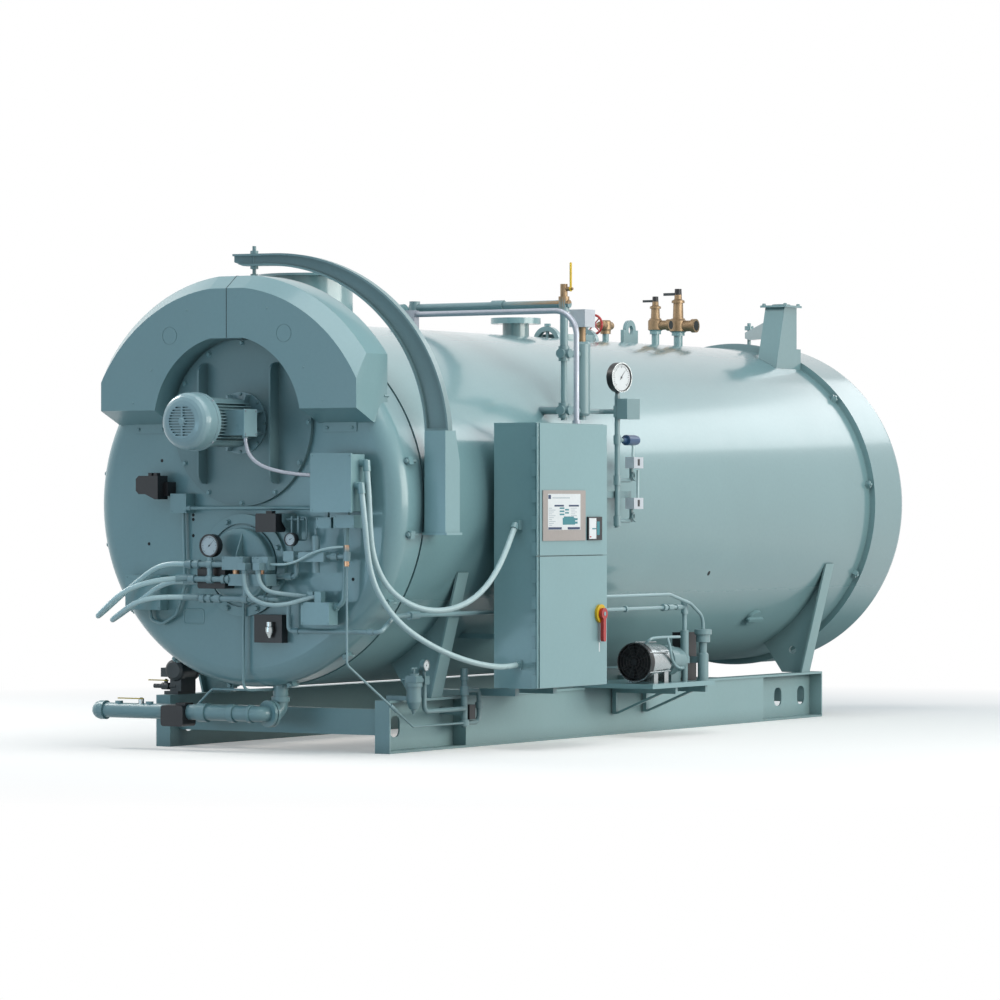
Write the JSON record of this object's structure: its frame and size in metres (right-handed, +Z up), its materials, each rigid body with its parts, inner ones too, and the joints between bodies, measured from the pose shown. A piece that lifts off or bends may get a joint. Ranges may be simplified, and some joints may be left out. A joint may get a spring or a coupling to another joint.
{
  "type": "industrial boiler",
  "caption": "Packaged fire-tube boiler on base rails with a davit-hung front door carrying burner and blower, control cabinet, steam and flue flanges",
  "frame": {"origin": "on the floor in the middle of the anchor bolts of the two base rails", "axes": "+Z up, +Y along the vessel from burner end to rear door, +X to the control cabinet side"},
  "size_m": [2.568, 7.033, 2.925],
  "materials": {
    "vessel_paint": "satin enamel",
    "front_paint": "satin enamel",
    "base_paint": "satin enamel",
    "bare_iron": "machined",
    "pipe_iron": "black pipe",
    "dark_iron": "painted casting",
    "galvanised": "galvanised",
    "valve_brass": "cast bronze",
    "red_enamel": "gloss",
    "yellow_grip": "dipped vinyl",
    "instrument_grey": "satin",
    "black_plastic": "moulded",
    "hose_grey": "liquid-tight cover",
    "hose_steel": "braided",
    "gasket": "fibre rope",
    "refractory": "castable"
  },
  "bodies": {
    "boiler": {"base_rail_right": "base_paint", "base_rail_left": "base_paint", "base_cross_members": "base_paint", "front_saddles": "base_paint", "rear_saddles": "base_paint", "shell": "vessel_paint", "front_tube_sheet": "bare_iron", "door_gasket": "gasket", "rear_flange_ring": "vessel_paint", "rear_door": "vessel_paint", "rear_davit": "vessel_paint", "davit_bracket": "front_paint", "lifting_lugs": "vessel_paint", "stack_outlet": "vessel_paint", "steam_nozzle": "bare_iron", "manway": "vessel_paint", "handhole": "vessel_paint", "safety_valves": "valve_brass", "angle_valve": "valve_brass", "water_column_piping": "pipe_iron", "water_column": "dark_iron", "cabinet_conduit": "galvanised", "pressure_manifold": "galvanised", "pressure_instruments": "instrument_grey", "control_cabinet": "front_paint", "cabinet_posts": "front_paint", "compressor_shelf": "front_paint", "compressor_motor": "front_paint", "air_compressor": "dark_iron", "air_piping": "pipe_iron", "oil_strainer": "dark_iron", "oil_valve_set": "pipe_iron", "fuel_pump_set": "dark_iron", "upper_conduit": "hose_grey", "lower_conduit": "hose_grey"},
    "front_door_assembly": {"front_door": "front_paint", "door_lining": "refractory", "air_inlet_shroud": "front_paint", "blower_plate": "front_paint", "blower_motor": "front_paint", "burner_plate": "front_paint", "burner_piping": "pipe_iron", "solenoid_valves": "instrument_grey", "pilot_gas_train": "pipe_iron", "burner_gauges": "black_plastic", "junction_boxes": "front_paint", "damper_actuators": "black_plastic", "gas_header": "front_paint", "davit_arm": "front_paint", "motor_whip": "hose_grey", "upper_oil_hose": "hose_steel", "lower_oil_hose": "hose_steel", "solenoid_leads": "hose_grey"},
    "upper_cabinet_door": {"cabinet_upper_door": "front_paint"},
    "lower_cabinet_door": {"cabinet_lower_door": "front_paint"},
    "disconnect_handle": {"disconnect_handle": "red_enamel"},
    "column_valve_lever": {"column_valve_lever": "yellow_grip"},
    "header_valve_lever": {"header_valve_lever": "yellow_grip"},
    "pump_valve_lever": {"pump_valve_lever": "yellow_grip"},
    "angle_valve_handwheel": {"angle_valve_handwheel": "red_enamel"}
  },
  "joints": [
    {"name": "front_door_swing", "type": "hinge", "parent": "boiler", "child": "front_door_assembly", "pos_m": [1.155, -2.69, 0], "axis": [0, 0, 1], "range_deg": [0, 100], "deforming": ["upper_conduit", "lower_conduit"]},
    {"name": "upper_cabinet_door_hinge", "type": "hinge", "parent": "boiler", "child": "upper_cabinet_door", "pos_m": [1.413, -2.044, 1.5], "axis": [0, 0, -1], "range_deg": [0, 105]},
    {"name": "lower_cabinet_door_hinge", "type": "hinge", "parent": "boiler", "child": "lower_cabinet_door", "pos_m": [1.413, -2.044, 0.75], "axis": [0, 0, -1], "range_deg": [0, 105]},
    {"name": "disconnect_handle_turn", "type": "hinge", "parent": "lower_cabinet_door", "child": "disconnect_handle", "pos_m": [1.45, -1.345, 0.785], "axis": [-1, 0, 0], "range_deg": [0, 90]},
    {"name": "column_valve_turn", "type": "hinge", "parent": "boiler", "child": "column_valve_lever", "pos_m": [1.107, -1.141, 2.722], "axis": [1, 0, 0], "range_deg": [0, 90]},
    {"name": "header_valve_turn", "type": "hinge", "parent": "front_door_assembly", "child": "header_valve_lever", "pos_m": [-0.745, -2.955, 0.293], "axis": [0, 0, 1], "range_deg": [0, 90]},
    {"name": "pump_valve_turn", "type": "hinge", "parent": "boiler", "child": "pump_valve_lever", "pos_m": [-0.82, -2.6, 0.387], "axis": [0, 0, 1], "range_deg": [0, 90]},
    {"name": "handwheel_turn", "type": "hinge", "parent": "boiler", "child": "angle_valve_handwheel", "pos_m": [0, 1.04, 2.606], "axis": [0, 1, 0], "continuous": true}
  ]
}
